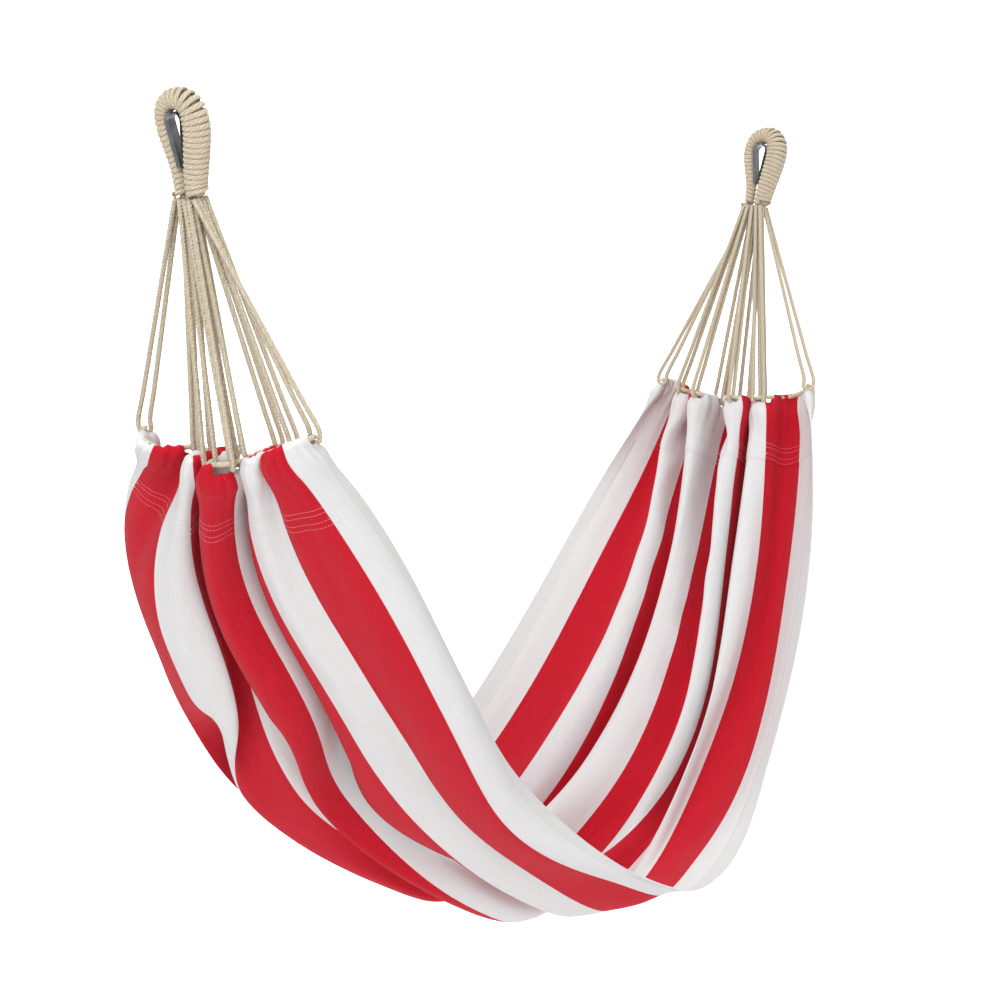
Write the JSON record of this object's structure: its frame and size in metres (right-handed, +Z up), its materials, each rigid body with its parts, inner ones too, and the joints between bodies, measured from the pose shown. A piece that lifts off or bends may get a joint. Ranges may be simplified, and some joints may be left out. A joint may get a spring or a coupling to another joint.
{
  "type": "rope hammock",
  "caption": "Hanging cotton hammock with wide lengthwise stripes, gathered on a casing rope at each end and hung by fans of clew cords from whipped rope eyes with steel thimbles.",
  "frame": {"origin": "middle of the left eye's crown, on the axis of the seat that its hook bears on", "axes": "+X from the left eye to the right eye, -Y towards the near long edge of the bed, +Z up"},
  "size_m": [1.5416, 0.6414, 1.1894],
  "materials": {
    "bed_canvas": "woven cotton canvas with lengthwise red and off-white stripes",
    "casing_rope": "laid cotton rope",
    "clew_cord": "laid cotton cord, natural",
    "whipping_cord": "laid cotton cord wound tightly",
    "eye_core_cord": "bundled cotton cord",
    "whipping_knot": "knotted cord end",
    "thimble_steel": "zinc-plated steel, slightly dulled"
  },
  "bodies": {
    "eyes": {"left_thimble": "thimble_steel", "left_eye_core": "eye_core_cord", "left_eye_whipping": "whipping_cord", "left_whipping_knot": "whipping_knot", "right_thimble": "thimble_steel", "right_eye_core": "eye_core_cord", "right_eye_whipping": "whipping_cord", "right_whipping_knot": "whipping_knot"},
    "bed": {"bed_fabric": "bed_canvas", "left_casing_rope": "casing_rope", "right_casing_rope": "casing_rope", "left_clew_1": "clew_cord", "left_clew_2": "clew_cord", "left_clew_3": "clew_cord", "left_clew_4": "clew_cord", "left_clew_5": "clew_cord", "left_clew_6": "clew_cord", "left_clew_7": "clew_cord", "left_clew_8": "clew_cord", "left_clew_9": "clew_cord", "left_clew_10": "clew_cord", "right_clew_1": "clew_cord", "right_clew_2": "clew_cord", "right_clew_3": "clew_cord", "right_clew_4": "clew_cord", "right_clew_5": "clew_cord", "right_clew_6": "clew_cord", "right_clew_7": "clew_cord", "right_clew_8": "clew_cord", "right_clew_9": "clew_cord", "right_clew_10": "clew_cord"}
  },
  "joints": [
    {"name": "bed_swing", "type": "hinge", "parent": "eyes", "child": "bed", "pos_m": [0.02159, 0, -0.09354], "axis": [1, 0, 0], "range_deg": [-35, 35], "deforming": ["left_clew_1", "left_clew_2", "left_clew_3", "left_clew_4", "left_clew_5", "left_clew_6", "left_clew_7", "left_clew_8", "left_clew_9", "left_clew_10", "right_clew_1", "right_clew_2", "right_clew_3", "right_clew_4", "right_clew_5", "right_clew_6", "right_clew_7", "right_clew_8", "right_clew_9", "right_clew_10"]}
  ]
}
